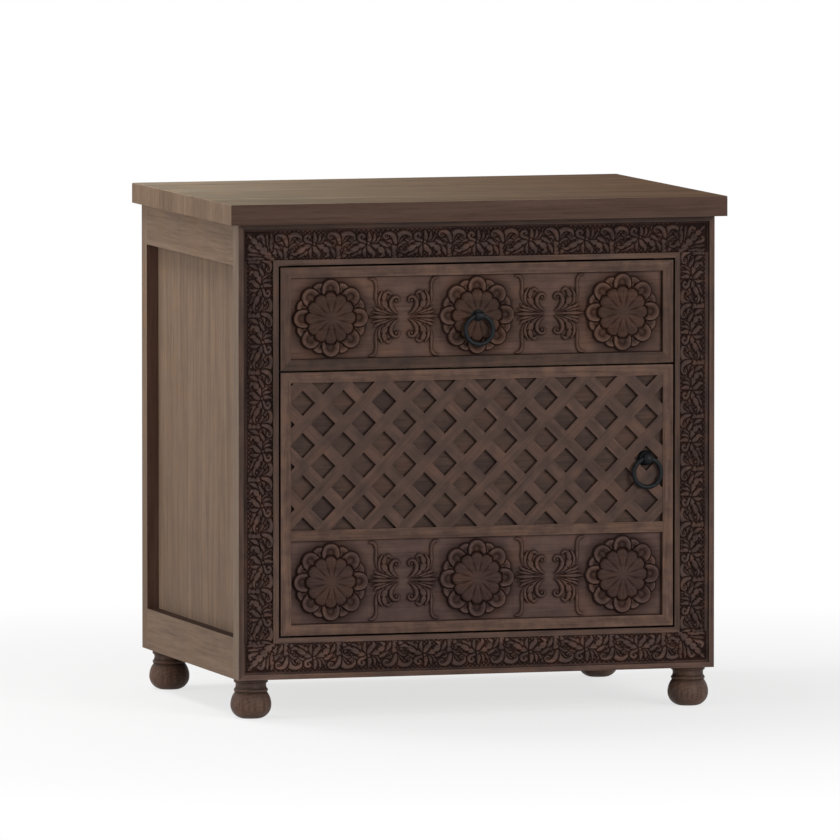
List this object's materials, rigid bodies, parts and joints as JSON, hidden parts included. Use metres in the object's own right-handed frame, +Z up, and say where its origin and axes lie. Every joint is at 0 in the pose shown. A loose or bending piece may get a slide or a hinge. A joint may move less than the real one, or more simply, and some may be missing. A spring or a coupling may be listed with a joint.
{
  "type": "nightstand",
  "caption": "Carved wooden nightstand with a drawer above a lattice-front door, ring pulls and turned bun feet.",
  "frame": {"origin": "on the floor, under the middle of the top's outline", "axes": "+X to the right seen from the front, +Y from the front to the back, +Z up"},
  "size_m": [0.635, 0.4576, 0.633],
  "materials": {
    "wood_top": "brown stained, satin",
    "wood_frame": "dark stained, matt",
    "wood_side": "brown stained, matt",
    "wood_carved": "dark stained, matt",
    "wood_strip": "dark stained, satin",
    "wood_lattice": "dark stained, satin",
    "wood_backing": "dark stained, matt",
    "wood_foot": "dark stained, satin",
    "wood_inner": "unstained, sanded",
    "iron": "blackened",
    "steel": "plain",
    "catch_plastic": "moulded"
  },
  "bodies": {
    "carcass": {"back_panel": "wood_inner", "back_rail_bottom": "wood_inner", "back_rail_top": "wood_inner", "cabinet_floor": "wood_inner", "catch_magnet": "catch_plastic", "corner_blocks": "wood_inner", "divider_rail": "wood_inner", "drawer_kickers": "wood_inner", "drawer_runner_left": "wood_inner", "drawer_runner_right": "wood_inner", "foot_blocks": "wood_inner", "foot_bolts": "steel", "foot_front_left": "wood_foot", "foot_front_right": "wood_foot", "foot_rear_left": "wood_foot", "foot_rear_right": "wood_foot", "frame_rail_bottom": "wood_frame", "frame_rail_top": "wood_frame", "frame_stile_left": "wood_frame", "frame_stile_right": "wood_frame", "pivot_brackets": "steel", "pivot_pins": "steel", "pivot_screws": "steel", "side_panel_left": "wood_side", "side_panel_right": "wood_side", "side_rail_bottom_left": "wood_side", "side_rail_bottom_right": "wood_side", "side_rail_top_left": "wood_side", "side_rail_top_right": "wood_side", "side_stile_rear_left": "wood_side", "side_stile_rear_right": "wood_side", "top_panel": "wood_top", "top_screws": "steel"},
    "drawer": {"drawer_back": "wood_inner", "drawer_bottom": "wood_inner", "drawer_panel": "wood_carved", "drawer_pull_boss": "iron", "drawer_side_left": "wood_inner", "drawer_side_right": "wood_inner", "drawer_strip_bottom": "wood_strip", "drawer_strip_left": "wood_strip", "drawer_strip_right": "wood_strip", "drawer_strip_top": "wood_strip"},
    "drawer_ring": {"drawer_pull_ring": "iron"},
    "door": {"catch_strike": "steel", "door_panel": "wood_carved", "door_pull_boss": "iron", "door_rail_bottom": "wood_strip", "door_rail_middle": "wood_strip", "door_rail_top": "wood_strip", "door_stile_left": "wood_strip", "door_stile_right": "wood_strip", "lattice_backing": "wood_backing", "lattice_slats_falling": "wood_lattice", "lattice_slats_rising": "wood_lattice", "pivot_bushes": "steel"},
    "door_ring": {"door_pull_ring": "iron"}
  },
  "joints": [
    {"name": "drawer_slide", "type": "slide", "parent": "carcass", "child": "drawer", "axis": [0, -1, 0], "range_m": [0, 0.28]},
    {"name": "door_hinge", "type": "hinge", "parent": "carcass", "child": "door", "pos_m": [-0.2445, -0.21175, 0.264], "axis": [0, 0, -1], "range_deg": [0, 105]},
    {"name": "drawer_ring_swing", "type": "hinge", "parent": "drawer", "child": "drawer_ring", "pos_m": [0, -0.2232, 0.49125], "axis": [-1, 0, 0], "range_deg": [-3, 170]},
    {"name": "door_ring_swing", "type": "hinge", "parent": "door", "child": "door_ring", "pos_m": [0.2171, -0.2211, 0.31], "axis": [-1, 0, 0], "range_deg": [-3, 170]}
  ]
}
